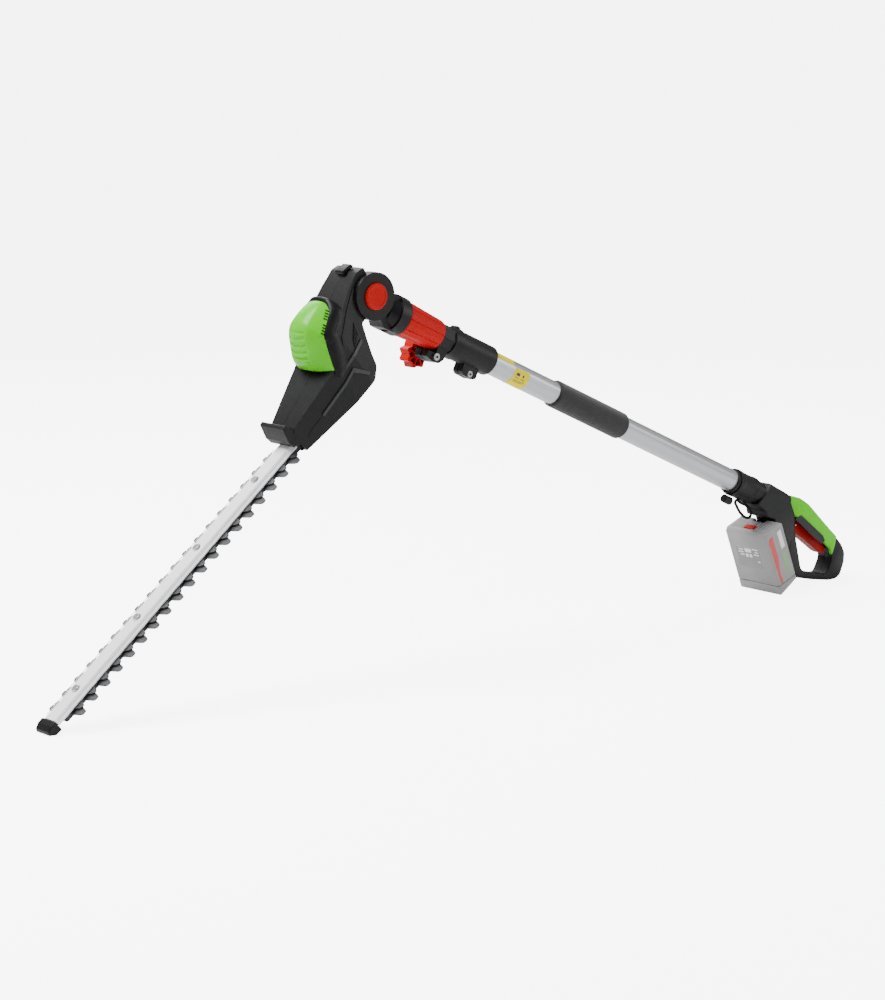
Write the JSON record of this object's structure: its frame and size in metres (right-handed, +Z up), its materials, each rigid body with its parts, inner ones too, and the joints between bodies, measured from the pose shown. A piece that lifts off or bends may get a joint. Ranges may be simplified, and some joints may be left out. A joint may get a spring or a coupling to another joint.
{
  "type": "pole hedge trimmer",
  "caption": "Battery pole hedge trimmer: two-sided blade on a tilting motor head, a telescopic tube with clamp knob and foam grip, and a rear loop handle with trigger and pack.",
  "frame": {"origin": "centre of the bounding box's base, on the floor the tool stands on", "axes": "+X from the blade tip to the rear handle, +Y along the head hinge, away from the lock button, +Z up"},
  "size_m": [1.3308, 0.0762, 0.5001],
  "materials": {
    "black_shell": "fine-grained moulded plastic",
    "black_trim": "satin moulded plastic",
    "grey_rib": "smooth satin plastic",
    "green_cover": "glossy moulded plastic",
    "red_control": "satin moulded plastic",
    "grip_rubber": "soft grip rubber",
    "foam": "closed-cell foam",
    "tube_metal": "brushed, clear anodised",
    "rail_metal": "brushed aluminium bar",
    "blade_steel": "dark oxide coated steel, ground cutting edges",
    "hardware": "zinc plated",
    "gear_steel": "machined and greased",
    "motor_can": "drawn steel can",
    "battery_shell": "pale satin plastic",
    "battery_cell": "sleeved steel cells"
  },
  "bodies": {
    "pole": {"rear_housing_left": "black_shell", "rear_housing_right": "black_shell", "handle_cover_left": "green_cover", "handle_cover_right": "green_cover", "grip_inlay_left": "grip_rubber", "grip_inlay_right": "grip_rubber", "trigger_pin": "hardware", "trigger_switch": "black_trim", "battery_rail": "black_trim", "outer_tube": "tube_metal", "foam_grip": "foam", "tube_socket": "black_trim", "socket_screw": "hardware", "tube_clamp": "black_trim", "clamp_bolt": "hardware", "strap_collar": "black_trim", "carry_ring": "black_trim"},
    "slider": {"inner_tube": "tube_metal", "neck": "black_shell", "detent_ring": "hardware"},
    "sleeve": {"twist_sleeve": "red_control"},
    "head": {"head_shell_left": "black_shell", "head_shell_right": "black_shell", "hinge_pin": "hardware", "motor_cover": "green_cover", "top_lug": "black_trim", "hand_guard": "black_trim", "side_bar_left": "grey_rib", "side_bar_right": "grey_rib", "side_rib_left": "grey_rib", "side_rib_right": "grey_rib", "motor": "motor_can", "gear_shaft": "gear_steel", "gear_bearing": "hardware", "pinion_bearing": "hardware", "gearbox_plate": "hardware", "blade_rail": "rail_metal", "blade_bolt_1": "hardware", "blade_bolt_2": "hardware", "blade_bolt_3": "hardware", "blade_bolt_4": "hardware", "tip_guard": "black_trim"},
    "lock_button": {"angle_lock_button": "red_control"},
    "gear": {"drive_gear": "gear_steel"},
    "pinion": {"motor_pinion": "gear_steel"},
    "upper_cutter": {"upper_blade": "blade_steel"},
    "lower_cutter": {"lower_blade": "blade_steel"},
    "knob": {"star_knob": "red_control"},
    "trigger_lever": {"trigger": "red_control"},
    "lock_off": {"lock_off_button": "red_control"},
    "battery": {"battery_case": "battery_shell", "battery_base": "battery_shell", "battery_cells": "battery_cell"},
    "release": {"battery_release_button": "red_control"},
    "thumb_screw": {"collar_thumb_screw": "black_trim"}
  },
  "joints": [
    {"name": "telescope", "type": "slide", "parent": "pole", "child": "slider", "axis": [-0.91, 0, 0.4147], "range_m": [0, 0.32]},
    {"name": "sleeve_twist", "type": "hinge", "parent": "slider", "child": "sleeve", "pos_m": [-0.11546, 0, 0.41709], "axis": [0.91, 0, -0.4147], "range_deg": [0, 90]},
    {"name": "head_tilt", "type": "hinge", "parent": "slider", "child": "head", "pos_m": [-0.2048, 0, 0.4622], "axis": [0, 1, 0], "range_deg": [-30, 60]},
    {"name": "angle_lock_press", "type": "slide", "parent": "head", "child": "lock_button", "axis": [0, 1, 0], "range_m": [0, 0.0025], "stiffness_N_per_m": 1500, "springref_m": -0.002},
    {"name": "gear_spin", "type": "hinge", "parent": "head", "child": "gear", "pos_m": [-0.25633, 0, 0.35492], "axis": [-0.6361, 0, 0.7716], "continuous": true},
    {"name": "pinion_spin", "type": "hinge", "parent": "head", "child": "pinion", "pos_m": [-0.23473, 0, 0.37273], "axis": [-0.6361, 0, 0.7716], "continuous": true},
    {"name": "upper_stroke", "type": "slide", "parent": "head", "child": "upper_cutter", "axis": [0.7716, 0, 0.6361], "range_m": [-0.008, 0.008]},
    {"name": "lower_stroke", "type": "slide", "parent": "head", "child": "lower_cutter", "axis": [0.7716, 0, 0.6361], "range_m": [-0.008, 0.008]},
    {"name": "knob_turn", "type": "hinge", "parent": "pole", "child": "knob", "pos_m": [-0.09642, 0.027, 0.37929], "axis": [0, 1, 0], "continuous": true},
    {"name": "trigger_pull", "type": "hinge", "parent": "pole", "child": "trigger_lever", "pos_m": [0.5642, 0, 0.0877], "axis": [0, -1, 0], "range_deg": [0, 5], "stiffness_Nm_per_rad": 1.5, "springref_deg": -5.16},
    {"name": "lock_off_press", "type": "slide", "parent": "pole", "child": "lock_off", "axis": [-0.6587, 0, -0.7524], "range_m": [0, 0.0025], "stiffness_N_per_m": 600, "springref_m": -0.002},
    {"name": "battery_slide", "type": "slide", "parent": "pole", "child": "battery", "axis": [0.3697, 0, -0.9291], "range_m": [0, 0.05]},
    {"name": "battery_release_press", "type": "slide", "parent": "battery", "child": "release", "axis": [0.3697, 0, -0.9291], "range_m": [0, 0.002], "stiffness_N_per_m": 600, "springref_m": -0.002},
    {"name": "thumb_screw_turn", "type": "hinge", "parent": "pole", "child": "thumb_screw", "pos_m": [0.43421, 0, 0.1378], "axis": [0.91, 0, -0.4147], "continuous": true}
  ],
  "couplings": [
    {"joint": "pinion_spin", "follows": "gear_spin", "ratio": -3.6667},
    {"joint": "lower_stroke", "follows": "upper_stroke", "ratio": -1}
  ]
}
